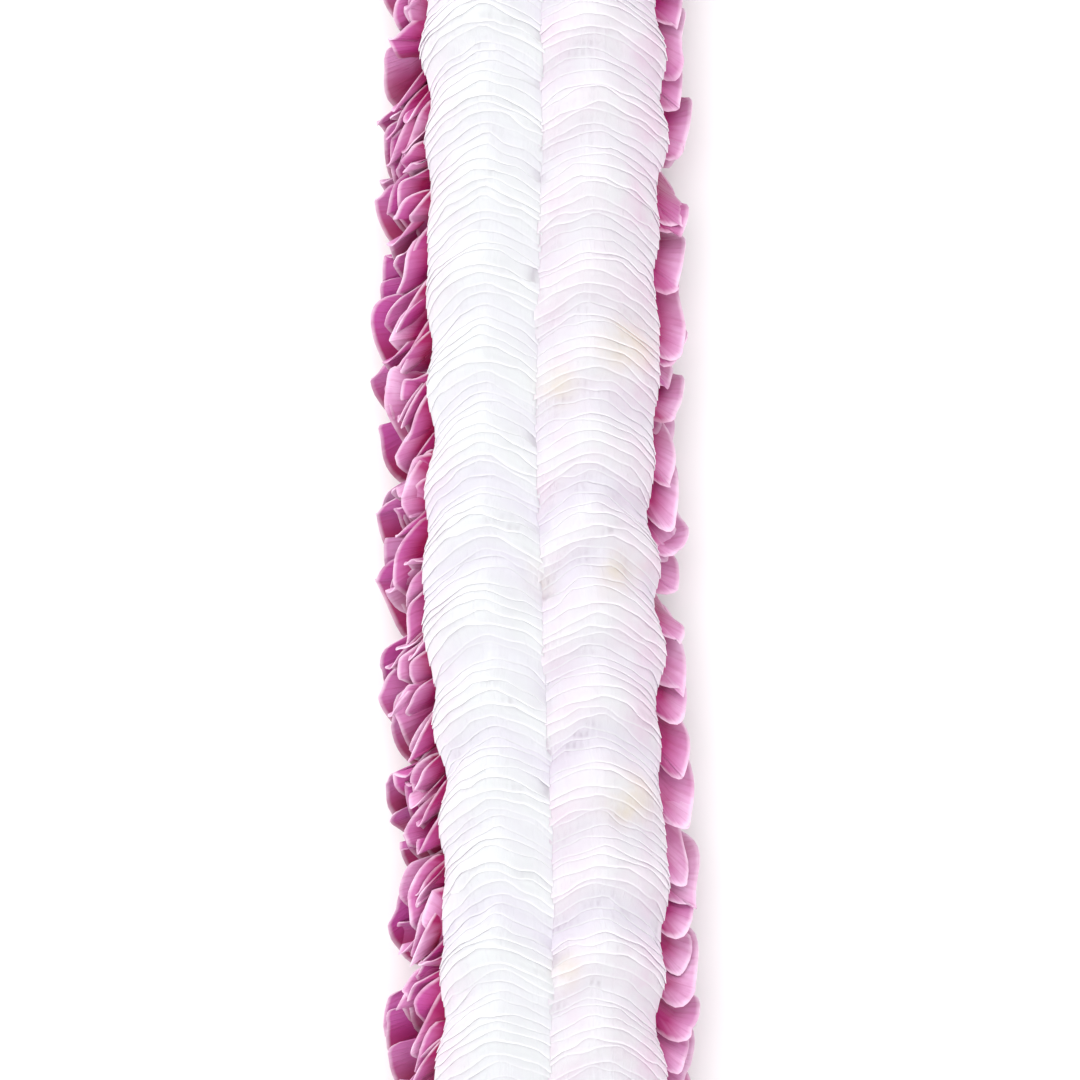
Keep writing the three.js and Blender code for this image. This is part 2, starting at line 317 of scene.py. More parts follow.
@dataclass
class Shape:
    """Points and faces with their marks, ready to become an object.

    The points are in metres, one row each. The corners are the point numbers of all faces, one
    after the other, and the sizes are each face's count of corners. The marks are numbers for the
    finish, one for each point.
    """

    points: Array
    corners: Array
    sizes: Array
    marks: dict[str, Array]

    @classmethod
    def from_sheets(
        cls, net: PetalNet, surface: Surface, thickness: float, marks: dict[str, Array]
    ) -> "Shape":
        """Makes petals as closed thin solids, a little thicker at the root than at the rim.

        Args:
            net: the net of each petal.
            surface: gives the middle of the sheets, for places across and from root to rim.
            thickness: the thickness in millimetres.
            marks: numbers for the finish, one for each petal and point of the net.

        Returns:
            The petals as one shape.
        """
        t, r = net.across, net.reach
        step = PROBE_STEP
        middle = surface(t, r)
        across = surface(t + step, r) - surface(t - step, r)
        out = surface(t, r + step) - surface(t, np.maximum(r - step, 0.0))
        normal = np.cross(across, out)
        normal /= np.maximum(np.linalg.norm(normal, axis=-1, keepdims=True), 1e-12)
        half = 0.5 * thickness * METRES_PER_MM * (1.35 - 0.6 * r)[..., None] * normal
        points = np.concatenate([middle + half, middle - half], axis=1)
        count, whole = points.shape[:2]
        doubled = {}
        for name, values in {**marks, "petal_across": t, "petal_reach": r}.items():
            wide = np.broadcast_to(values, (count, net.count))
            doubled[name] = np.concatenate([wide, wide], axis=1).ravel()
        corners = net.corners[None, :] + whole * np.arange(count)[:, None]
        return cls(points.reshape(-1, 3), corners.ravel(), np.tile(net.sizes, count), doubled)

    @classmethod
    def joined(cls, shapes: list["Shape"]) -> "Shape":
        """Joins shapes that carry the same marks.

        Args:
            shapes: the shapes.

        Returns:
            One shape with all their points and faces.
        """
        starts = np.cumsum([0] + [len(shape.points) for shape in shapes])
        corners = [shape.corners + start for shape, start in zip(shapes, starts)]
        names = shapes[0].marks
        return cls(
            np.concatenate([shape.points for shape in shapes]),
            np.concatenate(corners),
            np.concatenate([shape.sizes for shape in shapes]),
            {name: np.concatenate([shape.marks[name] for shape in shapes]) for name in names},
        )

    def to_piece(self, name: str, node: str, slot: Slot, finish: bpy.types.Material) -> None:
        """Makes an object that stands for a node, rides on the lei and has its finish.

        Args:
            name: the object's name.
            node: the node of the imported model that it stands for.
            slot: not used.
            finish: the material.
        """
        mesh = bpy.data.meshes.new(name)
        mesh.vertices.add(len(self.points))
        mesh.vertices.foreach_set("co", self.points.astype(np.float32).ravel())
        mesh.loops.add(len(self.corners))
        mesh.loops.foreach_set("vertex_index", self.corners.astype(np.int32))
        mesh.polygons.add(len(self.sizes))
        starts = np.concatenate([[0], np.cumsum(self.sizes)[:-1]])
        mesh.polygons.foreach_set("loop_start", starts.astype(np.int32))
        mesh.polygons.foreach_set("use_smooth", np.ones(len(self.sizes), dtype=bool))
        for key, values in self.marks.items():
            layer = mesh.attributes.new(key, "FLOAT", "POINT")
            layer.data.foreach_set("value", values.astype(np.float32))
        mesh.update(calc_edges=True)
        mesh.validate()
        mesh.set_sharp_from_angle(angle=math.radians(SHARP_DEGREES))
        mesh.materials.append(finish)
        piece = bpy.data.objects.new(name, mesh)
        bpy.context.scene.collection.objects.link(piece)
        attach(piece, BODY)
        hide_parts(node)
        log.info("%s stands for %s with %d faces", name, node, len(mesh.polygons))


class NodeDesk:
    """A node tree, with short ways to add what the groups and the finishes share."""

    def __init__(self, tree: bpy.types.ShaderNodeTree) -> None:
        """Takes the tree."""
        self.tree = tree

    def give(self, node: bpy.types.Node, given: dict[str | int, object]) -> None:
        """Gives a node's inputs their plain values or the results that they take."""
        for key, value in given.items():
            if isinstance(value, Socket):
                self.tree.links.new(value, node.inputs[key])
            else:
                node.inputs[key].default_value = value

    def add(self, kind: str, given: dict[str | int, object], **settings: object) -> bpy.types.Node:
        """Adds a node.

        Args:
            kind: the shader node's type.
            given: the plain value of each input, or the result that it takes.
            settings: the node's own settings.

        Returns:
            The node.
        """
        node = self.tree.nodes.new(f"ShaderNode{kind}")
        for key, value in settings.items():
            setattr(node, key, value)
        self.give(node, given)
        return node

    def times(self, first: Socket, second: Socket) -> Socket:
        """Two numbers multiplied."""
        return self.add("Math", {0: first, 1: second}, operation="MULTIPLY").outputs[0]

    def ramp(
        self, value: Socket, low: float, high: float | Socket, start: float = 0.0, end: float = 1.0
    ) -> Socket:
        """Runs smoothly from start to end, while a number goes from low to high.

        Args:
            value: the number.
            low: the number at which the run starts.
            high: the number at which it ends.
            start: the result at low and below.
            end: the result at high and above.

        Returns:
            The result.
        """
        given = {"Value": value, "From Min": low, "From Max": high, "To Min": start, "To Max": end}
        return self.add("MapRange", given, interpolation_type="SMOOTHSTEP").outputs["Result"]


class GroupDesk(NodeDesk):
    """A shader group with number inputs and one output."""

    def __init__(self, name: str, inputs: dict[str, float], output: str) -> None:
        """Starts the group.

        Args:
            name: the group's name.
            inputs: the number inputs and their usual values.
            output: the name of its output.
        """
        super().__init__(bpy.data.node_groups.new(name, "ShaderNodeTree"))
        for key, value in inputs.items():
            socket = self.tree.interface.new_socket(key, in_out="INPUT", socket_type="NodeSocketFloat")
            socket.default_value = value
        self.tree.interface.new_socket(output, in_out="OUTPUT", socket_type="NodeSocketFloat")
        self.given = self.tree.nodes.new("NodeGroupInput").outputs
        self.last = self.tree.nodes.new("NodeGroupOutput")

    def ended(self, result: Socket) -> bpy.types.ShaderNodeTree:
        """The group, with its result led out."""
        self.give(self.last, {0: result})
        return self.tree


class ShaderGroups:
    """The shader groups that several finishes use, each built once."""

    def __init__(self) -> None:
        """Builds the groups."""
        self.veins = self._veins()
        self.mottle = self._mottle()
        self.rim = self._rim()

    @staticmethod
    def _veins() -> bpy.types.ShaderNodeTree:
        """Fine lines that fan out from a petal's root and waver: 1 on a vein, 0 between veins."""
        usual = {"Across": 0.0, "Reach": 0.0, "Count": 40.0, "Waver": 1.0}
        desk = GroupDesk("petal_veins", usual, "Vein")
        spread = desk.times(desk.given["Across"], desk.given["Count"])
        stretch = desk.times(desk.given["Reach"], desk.given["Waver"])
        place = desk.add("CombineXYZ", {"X": spread, "Y": stretch}).outputs[0]
        streaks = desk.add("TexNoise", {"Scale": 1.0, "Detail": 2.0, "Vector": place})
        return desk.ended(desk.ramp(streaks.outputs["Fac"], 0.46, 0.66))

    @staticmethod
    def _mottle() -> bpy.types.ShaderNodeTree:
        """Soft cloudy unevenness through space, from 0 to 1."""
        desk = GroupDesk("soft_mottle", {"Scale": 120.0, "Roughness": 0.5}, "Mottle")
        space = desk.add("TexCoord", {}).outputs["Object"]
        given = {"Detail": 3.0, "Vector": space}
        given |= {"Scale": desk.given["Scale"], "Roughness": desk.given["Roughness"]}
        clouds = desk.add("TexNoise", given)
        return desk.ended(desk.ramp(clouds.outputs["Fac"], 0.3, 0.7))

    @staticmethod
    def _rim() -> bpy.types.ShaderNodeTree:
        """The pale line along a petal's free rim: 1 on the rim, and 0 beyond its width."""
        desk = GroupDesk("pale_rim", {"Distance": 0.0, "Width": 0.6}, "Rim")
        return desk.ended(desk.ramp(desk.given["Distance"], 0.0, desk.given["Width"], 1.0, 0.0))


class FinishDesk(NodeDesk):
    """A material's node tree, with its veins and with what only the finishes use."""

    def __init__(self, name: str, groups: ShaderGroups, vein_count: float, vein_waver: float) -> None:
        """Starts a material.

        Args:
            name: the material's name.
            groups: the shader groups.
            vein_count: how many veins may lie across a petal.
            vein_waver: how much they waver from root to rim.
        """
        self.material = bpy.data.materials.new(name)
        self.material.use_nodes = True
        super().__init__(self.material.node_tree)
        self.shader = self.tree.nodes["Principled BSDF"]
        self.groups = groups
        self.reach = self.mark("petal_reach")
        given = {"Count": vein_count, "Waver": vein_waver, "Across": self.mark("petal_across")}
        self.veins = self.group(groups.veins, {**given, "Reach": self.reach})

    def mark(self, name: str) -> Socket:
        """The numbers that a mesh carries under a name."""
        return self.add("Attribute", {}, attribute_name=name).outputs["Fac"]

    def group(self, tree: bpy.types.ShaderNodeTree, given: dict[str | int, object]) -> Socket:
        """The result of a shader group that is given these inputs."""
        return self.add("Group", given, node_tree=tree).outputs[0]

    def rim(self, width: float) -> Socket:
        """The pale rim of a width in millimetres."""
        return self.group(self.groups.rim, {"Width": width, "Distance": self.mark("rim_distance")})

    def scaled(self, value: Socket, factor: float, add: float = 0.0) -> Socket:
        """A number times a factor, plus another, held between 0 and 1."""
        given = {0: value, 1: factor, 2: add}
        return self.add("Math", given, operation="MULTIPLY_ADD", use_clamp=True).outputs[0]

    def painted(self, body: Colour, coats: tuple[tuple[Socket, Colour], ...]) -> Socket:
        """Lays coats of colour over a body colour.

        Args:
            body: the body colour.
            coats: how much of each coat shows, and its colour, from the lowest to the topmost.

        Returns:
            The blended colour.
        """
        colour = body
        for share, coat in coats:
            node = self.add("Mix", {"Factor": share}, data_type="RGBA")
            under, over = [n for n, socket in enumerate(node.inputs) if socket.type == "RGBA"]
            self.give(node, {under: colour, over: coat})
            colour = next(socket for socket in node.outputs if socket.type == "RGBA")
        return colour

    def bump(self, height: Socket, strength: float, distance: float) -> None:
        """Raises the surface by a height, over a distance in metres."""
        node = self.add("Bump", {"Strength": strength, "Distance": distance, "Height": height})
        self.give(self.shader, {"Normal": node.outputs["Normal"]})


@dataclass(frozen=True)
class WhitePetalFinish:
    """Soft white petals blushed at their rims, greyer in the creases between blooms as painted shade.
    """

    body: Colour = linear(246, 245, 249)
    blush: Colour = linear(245, 214, 236)
    # Painted shade laid in the creases between blooms; the veins are drawn in this colour too
    crease: Colour = linear(236, 224, 244)
    stain: Colour = linear(240, 222, 172)
    root: Colour = linear(226, 232, 214)
    rim: Colour = linear(252, 249, 253)

    def make(self, groups: ShaderGroups) -> bpy.types.Material:
        """Makes the material.

        Args:
            groups: the shader groups.

        Returns:
            The material.
        """
        desk = FinishDesk("white_petal_finish", groups, vein_count=46.0, vein_waver=1.6)
        mottle = desk.group(groups.mottle, {"Scale": 150.0})
        coats = (
            (desk.scaled(desk.reach, -1.8, 0.9), self.root),
            (desk.times(desk.mark("blush"), desk.scaled(mottle, 0.6, 0.4)), self.blush),
            # Painted shade in the creases between blooms
            (desk.mark("crease"), self.crease),
            (desk.times(desk.mark("stain"), desk.scaled(mottle, 0.7, 0.3)), self.stain),
            (desk.scaled(desk.veins, 0.07), self.crease),
            (desk.scaled(desk.rim(0.5), 0.55), self.rim),
        )
        given = {
            "Base Color": desk.painted(self.body, coats),
            "Roughness": desk.scaled(desk.veins, 0.14, 0.48),
            "Subsurface Weight": 0.5,
            "Subsurface Radius": (1.0, 0.85, 0.9),
            "Subsurface Scale": 0.0018,
            "Sheen Weight": 0.12,
            "Sheen Roughness": 0.45,
            "Specular IOR Level": 0.35,
        }
        desk.give(desk.shader, given)
        desk.bump(desk.veins, 0.2, 0.0001)
        return desk.material


@dataclass(frozen=True)
class MagentaPetalFinish:
    """Satin magenta petals, with painted crimson shade in their folds and pale along their rims."""

    body: Colour = linear(186, 46, 150)
    # Painted shade: crimson laid where the petals lie in shadow, and the colour of the veins
    deep: Colour = linear(152, 0, 60)
    # Painted highlight, mixed with each petal's own lightness, so it also makes the paler petals
    pale: Colour = linear(236, 192, 226)
    mauve: Colour = linear(164, 66, 138)
    rim: Colour = linear(247, 218, 238)

    def make(self, groups: ShaderGroups) -> bpy.types.Material:
        """Makes the material.

        Args:
            groups: the shader groups.

        Returns:
            The material.
        """
        desk = FinishDesk("magenta_petal_finish", groups, vein_count=60.0, vein_waver=2.2)
        mottle = desk.group(groups.mottle, {"Scale": 190.0})
        rim = desk.times(desk.rim(0.9), desk.scaled(mottle, 0.6, 0.4))
        coats = (
            (desk.mark("mauve"), self.mauve),
            # Painted crimson shade
            (desk.mark("deep"), self.deep),
            # Painted highlight times each petal's own lightness
            (desk.times(desk.mark("pale"), desk.scaled(mottle, 0.35, 0.65)), self.pale),
            (desk.scaled(desk.veins, 0.16), self.deep),
            (desk.scaled(rim, 0.9), self.rim),
        )
        given = {
            "Base Color": desk.painted(self.body, coats),
            "Roughness": desk.scaled(desk.veins, 0.12, 0.4),
            "Sheen Weight": 0.18,
            "Sheen Roughness": 0.35,
            "Specular IOR Level": 0.4,
        }
        desk.give(desk.shader, given)
        desk.bump(desk.veins, 0.45, 0.00012)
        return desk.material


@dataclass(frozen=True)
class CottonFinish:
    """Natural cotton thread, with fibres that follow its twist."""

    body: Colour = linear(236, 230, 216)
    shade: Colour = linear(206, 196, 176)

    def make(self, groups: ShaderGroups) -> bpy.types.Material:
        """Makes the material.

        Args:
            groups: the shader groups.

        Returns:
            The material.
        """
        desk = FinishDesk("cotton_thread_finish", groups, vein_count=16.0, vein_waver=3.0)
        fuzz = desk.group(groups.mottle, {"Scale": 2600.0, "Roughness": 0.7})
        coats = ((desk.scaled(desk.veins, 0.7), self.shade), (desk.scaled(fuzz, 0.35), self.shade))
        given = {
            "Base Color": desk.painted(self.body, coats),
            "Roughness": desk.scaled(fuzz, 0.15, 0.78),
            "Sheen Weight": 0.3,
        }
        desk.give(desk.shader, given)
        desk.bump(desk.veins, 0.6, 0.00008)
        return desk.material


@dataclass(frozen=True)
class Stain:
    """A faint ochre place on the white petals."""

    along: float
    out: float
    size: float
    strength: float


@dataclass
class WhitePetals:
    """The upper side of the lei: thin white petals in two rows, gathered in blooms."""

    line: LoopLine
    blooms_per_run: int = 3
    layers_per_bloom: int = 8
    thickness: float = 0.15
    root: tuple[tuple[float, float], ...] = ((0.35, 16.8), (3.2, 16.3))
    # The rim of one row, from the groove over the crest to the lower edge: out, height and along
    rim: tuple[tuple[float, float, float], ...] = (
        (-0.5, 33.2, 7.6),
        (4.2, 34.9, 3.6),
        (10.3, 36.0, 0.0),
        (16.0, 32.8, 2.2),
        (19.9, 28.6, 5.6),
        (21.6, 23.8, 8.8),
        (19.2, 17.2, 9.8),
    )
    # The petals stand up and then bend over forward, between these shares of their length
    bend: tuple[float, float] = (0.36, 0.8)
    bend_angle: float = 82.0
    swell: float = 1.8
    crease_depth: float = 0.8
    crease_width: float = 4.0
    billow: float = 0.15
    usual_fullness: float = 0.45
    skew: float = 0.9
    ruffle: float = 0.55
    notch_depth: float = 0.4
    notch_width: float = 0.045
    teeth: float = 0.3
    tuck: float = 0.08
    curl: float = 0.04
    # How far each petal differs from its neighbours
    own_ahead: float = 0.1
    own_length: float = 0.5
    own_curl: float = 0.02
    own_beside: float = 0.25
    # Where a petal's lower edge and its lower side lie, as shares of its rim
    lower_edge: float = 0.88
    lower_side: tuple[float, float] = (0.5, 0.8)
    # The blush at the rims of the outer and the inner row, and what the inner row has besides
    outer_blush: float = 0.9
    inner_blush: float = 1.2
    inner_tint: float = 0.36
    groove_tint: float = 0.3
    deep_creases: tuple[float, ...] = (168.0, 183.0, 217.0, 246.0, 261.0, 294.0, 322.0)
    stains: tuple[Stain, ...] = (
        Stain(223.6, -3.8, 3.2, 0.55),
        Stain(216.0, -16.0, 4.4, 0.6),
        Stain(261.6, 0.0, 2.6, 0.45),
        Stain(259.7, -15.2, 3.6, 0.5),
        Stain(301.5, -15.2, 3.8, 0.55),
        Stain(334.8, -2.9, 2.4, 0.4),
    )
    seed: int = 11

    def __post_init__(self) -> None:
        """Works out the net, the rim, the bend and what differs from bloom to bloom."""
        rows = ((0.0, 5), (0.46, 9), (0.7, 15), (0.8125, 27), (0.875, 27), (0.9375, 27), (1.0, 27))
        self.net = PetalNet(rows)
        curve = smooth_curve(np.array(self.rim))
        length = np.concatenate([[0], np.cumsum(np.linalg.norm(np.diff(curve[:, :2], axis=0), axis=1))])
        self.rim_curve = curve
        self.rim_share = length / length[-1]
        # The profile runs on past the usual rim, for the petals that are longer than most
        steps, spare = 120, 14
        self.profile = np.arange(steps + spare + 1) / steps
        angle = np.radians(self.bend_angle) * smooth_step(*self.bend, self.profile)
        rise, over = np.cumsum(np.cos(angle)), np.cumsum(np.sin(angle))
        whole = rise[steps] - rise[0]
        self.profile_rise = (rise - rise[0]) / whole
        self.profile_over = (over - over[0]) / whole
        self.profile_stretch = steps / whole
        self.blooms = RUNS * self.blooms_per_run
        self.layers = self.blooms * self.layers_per_bloom
        self.pitch = self.line.girth / self.layers
        rng = np.random.default_rng(self.seed)
        self.fullness = rng.uniform(0.7, 1.15, self.blooms)
        self.tone = rng.uniform(0.0, 1.0, (self.blooms + 1, 2))
        self.borders = self.line.girth / self.blooms * np.arange(self.blooms + 1.0)
        self.borders[1:-1] += rng.uniform(-1.3, 1.3, self.blooms - 1)
        deep = [np.abs(np.array(self.deep_creases) - border).min() < 6.0 for border in self.borders]
        self.border_depth = np.where(deep, 1.0, 0.3 + 0.35 * self.tone[:, 0])
        self.own = rng.uniform(-1.0, 1.0, (self.layers, 2, 6))
        self.more_stains = self._scatter_stains(rng)

    def _scatter_stains(self, rng: np.random.Generator) -> tuple[Stain, ...]:
        """Spreads stains like the listed ones round the rest of the loop.

        Args:
            rng: the source of chance.

        Returns:
            The stains.
        """
        found = []
        first, last, spacing = 370.0, self.line.girth + 130.0, 27.0
        for along in np.arange(first, last, spacing):
            out = float(rng.choice([-15.5, -4.0, 0.0, 14.0]))
            found.append(
                Stain(
                    float(along + rng.uniform(-9.0, 9.0)) % self.line.girth,
                    out + float(rng.uniform(-1.5, 1.5)),
                    float(rng.uniform(2.2, 4.2)),
                    float(rng.uniform(0.25, 0.55)),
                )
            )
        return tuple(found)

    def _fullness_at(self, flow: Array) -> tuple[Array, Array]:
        """How full the blooms are, and how deep the creases between them, along the loop.

        Args:
            flow: distances along the loop.

        Returns:
            The fullness, which is 0 between blooms, and the depth of the crease, from 0 to 1.
        """
        flow = np.mod(flow, self.line.girth)
        place = np.interp(flow, self.borders, np.arange(self.blooms + 1.0))
        bloom = np.clip(np.floor(place).astype(int), 0, self.blooms - 1)
        through = place - bloom
        full = np.sin(np.pi * np.clip(through, 0.0, 1.0)) ** 2 * self.fullness[bloom]
        near = np.rint(place).astype(int)
        far = (flow - self.borders[near]) / self.crease_width
        return full, self.border_depth[near] * np.exp(-(far**2))

    def _rim_at(self, t: Array) -> list[Array]:
        """How far out, how high and how far along the usual rim lies at places across."""
        return [np.interp(t, self.rim_share, self.rim_curve[:, n]) for n in range(3)]

    def _notches(self, places: list[Array], t: Array) -> Array:
        """The notches where one petal of a layer ends and the next begins.

        Args:
            places: where each layer has its notches.
            t: places across.

        Returns:
            How deep each notch is, from 0 to 1.
        """
        depths = [np.exp(-(((t - place) / self.notch_width) ** 2)) for place in places]
        return np.clip(sum(depths), 0.0, 1.0)

    def _surface(self, layers: Array, side: int) -> Surface:
        """The middle sheets of some layers in one row.

        Args:
            layers: the numbers of the layers.
            side: 1 for the outer row and -1 for the inner one.

        Returns:
            The surface.
        """
        row = 0 if side > 0 else 1
        layer = layers[:, None] + 0.5 * row
        ahead, curled, first, second, beside, shorter = self.own[layers, row].T[:, :, None]
        notches = [0.3 + 0.2 * first, 0.68 + 0.2 * second]
        along = layer * self.pitch + self.own_ahead * ahead
        band = Band.beside(side)
        billow, ruffle, tooth, lift, skew = (Ripple(self.seed + 7 * n + row) for n in range(1, 6))

        def surface(t: Array, r: Array) -> Array:
            """Gives the sheets' points at places across and from root to rim."""
            rim_out, rim_height, rim_along = self._rim_at(t)
            root_out, root_height = (np.interp(t, [0.0, 1.0], ends) for ends in zip(*self.root))
            width, rise = rim_out - root_out, rim_height - root_height
            length = np.hypot(width, rise)
            short = self.notch_depth * self._notches(notches, t) + self.own_length * shorter
            short = short + self.ruffle * ruffle.at(t * 9.0, layer * 0.9)
            short = short + self.teeth * tooth.at(t * 12.0, layer * 3.1)
            gone = r * (1.0 - short / (length * self.profile_stretch))
            up = np.interp(gone, self.profile, self.profile_rise)
            over = np.interp(gone, self.profile, self.profile_over) * length
            lower = smooth_step(self.lower_edge, 1.0, t)
            bend = over * (1 - 0.4 * lower) + rim_along * up**1.6
            bend = bend + self.skew * skew.at((along + bend) / 16.0, t * 2.0) * up
            flow = along + bend - rim_along
            full, crease = self._fullness_at(flow)
            growth = self.swell * (full - self.usual_fullness) - self.crease_depth * crease
            growth = growth + self.billow * billow.at(t * 5.0, flow / 5.5)
            growth = growth * (1 - 0.8 * lower) * smooth_step(0.2, 0.75, up)
            curl = self.own_curl * curled + self.curl * lift.at(t * 9.0, layer * 2.3)
            growth = growth + (curl - self.tuck) * r**10
            edge = band.shift(along + bend, self.line.girth)
            outward = growth * (1 - 0.5 * smooth_step(*self.lower_side, t)) * width / length
            out = root_out + width * up + outward + edge * (up * rim_out / 20.0) ** 2
            out = out + self.own_beside * beside * (1 - t) ** 12
            height = root_height + rise * up + growth * rise / length
            return self.line.place(along + bend, side * out, height)

        return surface

    def _marks(self, layers: Array, side: int) -> dict[str, Array]:
        """What the finish needs to know of each point.

        Args:
            layers: the numbers of the layers.
            side: 1 for the outer row and -1 for the inner one.

        Returns:
            The marks by name.
        """
        t, r = self.net.across, self.net.reach
        rim_out, rim_height, rim_along = self._rim_at(t)
        length = np.hypot(rim_out - 2.0, rim_height - 16.5)
        over = np.interp(r, self.profile, self.profile_over) * length
        up = np.interp(r, self.profile, self.profile_rise)
        flow = layers[:, None] * self.pitch + over
        tone = self.tone[layers // self.layers_per_bloom, 1][:, None]
        cloud = Ripple(self.seed + 90 + side).at(t * 3.0, layers[:, None] / 7.0)
        amount = self.inner_blush if side < 0 else self.outer_blush
        blush = amount * smooth_step(0.36, 0.75, t) * (0.75 + 0.5 * cloud) * (0.6 + 0.6 * tone)
        if side < 0:
            # The inner row is pinker all over, and most of all beside the groove
            near_groove = smooth_step(0.3, 0.05, t)
            blush = blush + self.inner_tint + self.groove_tint * near_groove * (0.7 + 0.5 * cloud)
        _, crease = self._fullness_at(flow)
        stain = np.zeros(flow.shape)
        for spot in self.stains + self.more_stains:
            far = (flow + rim_along - spot.along) ** 2 + (side * rim_out * up - spot.out) ** 2
            stain = np.maximum(stain, spot.strength * np.exp(-far / spot.size**2))
        return {
            "rim_distance": (1.0 - r) * length * self.profile_stretch,
            "blush": np.clip(blush, 0.0, 1.0),
            # Painted shade in the creases between blooms, growing as the petals rise
            "crease": 0.6 * crease * up**2,
            "stain": stain * smooth_step(0.5, 0.9, up),
        }

    def build(self, finish: bpy.types.Material) -> None:
        """Builds and dresses every run of white petals.

        Args:
            finish: the white petals' material.
        """
        per_run = self.blooms_per_run * self.layers_per_bloom
        for run in range(RUNS):
            layers = np.arange(run * per_run, (run + 1) * per_run)
            rows = []
            for side in (1, -1):
                surface, marks = self._surface(layers, side), self._marks(layers, side)
                rows.append(Shape.from_sheets(self.net, surface, self.thickness, marks))
            number = f"{run + 1:02d}"
            whole = Shape.joined(rows)
            whole.to_piece(f"white_blooms_{number}", f"white_petals_{number}", Slot.WHITE, finish)


@dataclass(frozen=True)
class SideTier:
    """One tier of magenta petals on one side of the thread.

    The lean and the sweep say how far a petal runs forward for each millimetre of height and of
    reach, and the hook draws its tip back again. The cup, flare and ruffle are in millimetres. The
    corner cuts back the lower rim, and mauve and pale are shares of those colours; pale is the
    share of painted highlight.
    """

    side: int
    per_run: int
    offset: float
    reach: float
    top: float
    low: float
    lean: float
    sweep: float
    hook: float
    cup: float
    flare: float
    ruffle: float
    corner: float
    mauve: float
    pale: float


class Tier(Enum):
    """The tiers of magenta petals."""

    OUTER_FRONT = SideTier(
        side=1, per_run=8, offset=0.15, reach=26.2, top=19.6, low=3.4, lean=-1.05, sweep=1.15,
        hook=0.0, cup=3.2, flare=1.2, ruffle=2.5, corner=1.0, mauve=0.0, pale=1.0,
    )
    OUTER_INSERT = SideTier(
        side=1, per_run=7, offset=0.6, reach=27.4, top=18.4, low=3.0, lean=-1.1, sweep=1.05,
        hook=0.0, cup=2.8, flare=1.2, ruffle=2.5, corner=1.0, mauve=0.0, pale=0.8,
    )
    OUTER_MIDDLE = SideTier(
        side=1, per_run=6, offset=0.3, reach=29.2, top=16.6, low=2.4, lean=-1.0, sweep=0.9,
        hook=0.0, cup=2.6, flare=0.9, ruffle=2.4, corner=0.8, mauve=0.1, pale=0.6,
    )
    OUTER_BACK = SideTier(
        side=1, per_run=6, offset=0.4, reach=31.6, top=12.5, low=1.6, lean=-1.4, sweep=0.6,
        hook=0.0, cup=2.0, flare=0.7, ruffle=2.2, corner=0.4, mauve=0.5, pale=0.3,
    )
    INNER_FRONT = SideTier(
        side=-1, per_run=7, offset=0.3, reach=27.8, top=18.2, low=2.8, lean=1.0, sweep=0.6,
        hook=0.14, cup=2.2, flare=1.2, ruffle=2.0, corner=0.1, mauve=0.0, pale=1.25,
    )
    INNER_BACK = SideTier(
        side=-1, per_run=5, offset=0.7, reach=26.6, top=12.5, low=1.6, lean=1.2, sweep=0.5,
        hook=0.12, cup=1.5, flare=0.6, ruffle=1.6, corner=0.0, mauve=0.0, pale=1.25,
    )



@dataclass(frozen=True)
class SideTone:
    """How loose the magenta petals of one side are, and where painted shade and painted highlight lie
    on them.

    A petal gets painted shade over the fall below its upper rim. It gets painted highlight from a
    distance beyond the white petals, over another distance. Light and rim are what all petals have
    of that highlight, and how much of each petal's own comes on top. Deep is the share of painted
    crimson shade.
    """

    loose: float
    fall: float
    highlight_from: float
    highlight_over: float
    deep: float
    light: tuple[float, float]
    rim: tuple[float, float]


class Side(Enum):
    """The two sides of the magenta petals: the inner one has more painted highlight, less painted
    shade, and is more even.
    """

    OUTER = SideTone(
        loose=1.7, fall=5.6, highlight_from=1.4, highlight_over=2.8, deep=1.0, light=(0.0, 1.0), rim=(0.0, 1.0)
    )
    INNER = SideTone(
        loose=1.1, fall=8.5, highlight_from=-0.5, highlight_over=4.5, deep=0.75, light=(0.75, 0.3), rim=(0.4, 0.6)
    )


class Chance:
    """A seeded source of chance numbers for a group of petals."""

    def __init__(self, seed: int, count: int) -> None:
        """Starts the source for a count of petals."""
        self.rng = np.random.default_rng(seed)
        self.count = count

    def between(self, low: float, high: float) -> Array:
        """One number for each petal, as a column."""
        return self.rng.uniform(low, high, self.count)[:, None]


